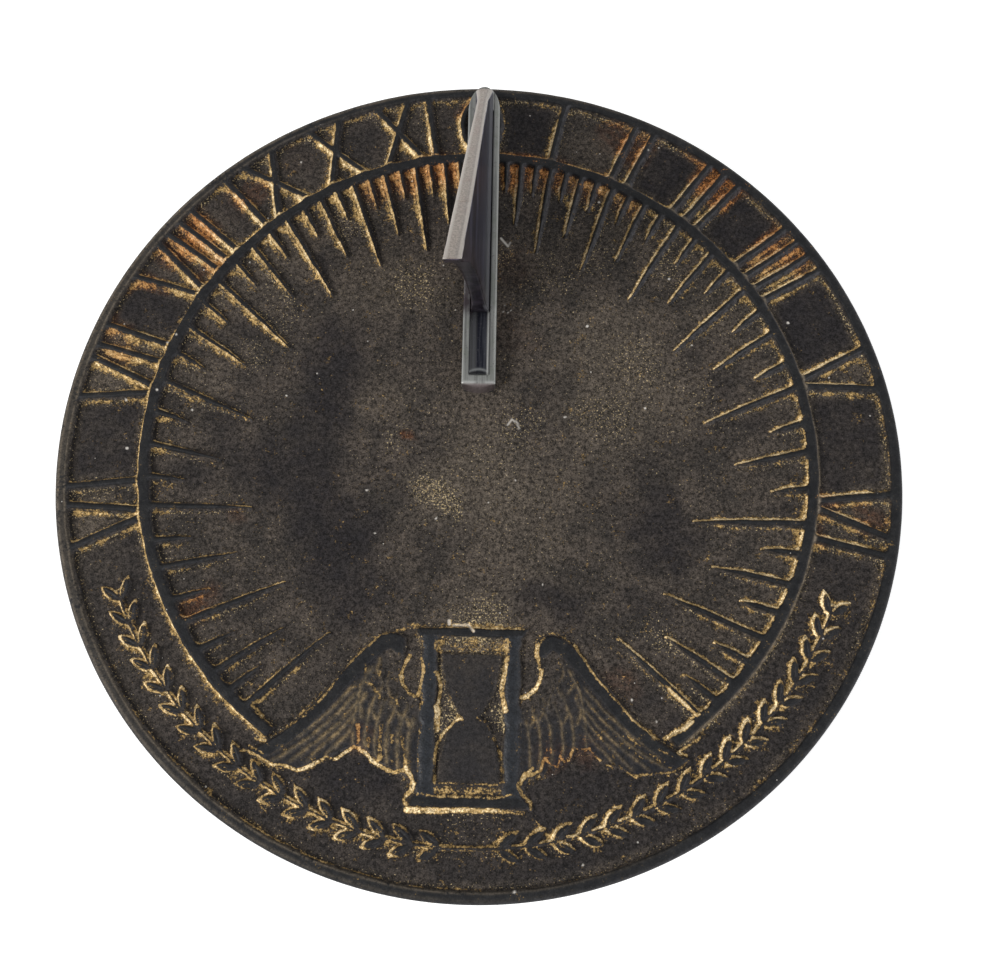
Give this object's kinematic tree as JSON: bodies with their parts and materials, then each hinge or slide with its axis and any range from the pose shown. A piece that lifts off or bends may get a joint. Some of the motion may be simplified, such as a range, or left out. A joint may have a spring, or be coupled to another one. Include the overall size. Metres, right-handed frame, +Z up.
{
  "type": "horizontal garden sundial",
  "caption": "Round cast sundial plate with raised Roman numerals, hour lines, a winged hourglass and a leaf garland, and a triangular blade on a foot rail.",
  "frame": {"origin": "centre of the rest face, the lower edge of the plate's skirt", "axes": "+Z up, square to the plate; +Y towards the noon numeral, where the blade's low end is; +X towards the afternoon hours"},
  "size_m": [0.254, 0.254, 0.0965],
  "materials": {
    "cast_dark": "dark satin casting, gold rubbed into the hollows",
    "rail_metal": "satin lands, polished groove",
    "blade_metal": "satin upper edge, polished sides",
    "screw_steel": "zinc plated",
    "washer_steel": "zinc plated"
  },
  "bodies": {
    "root": {"dial_plate": "cast_dark", "gnomon_rail": "rail_metal", "gnomon_blade": "blade_metal", "gnomon_screws": "screw_steel", "screw_washers": "washer_steel"}
  },
  "joints": []
}
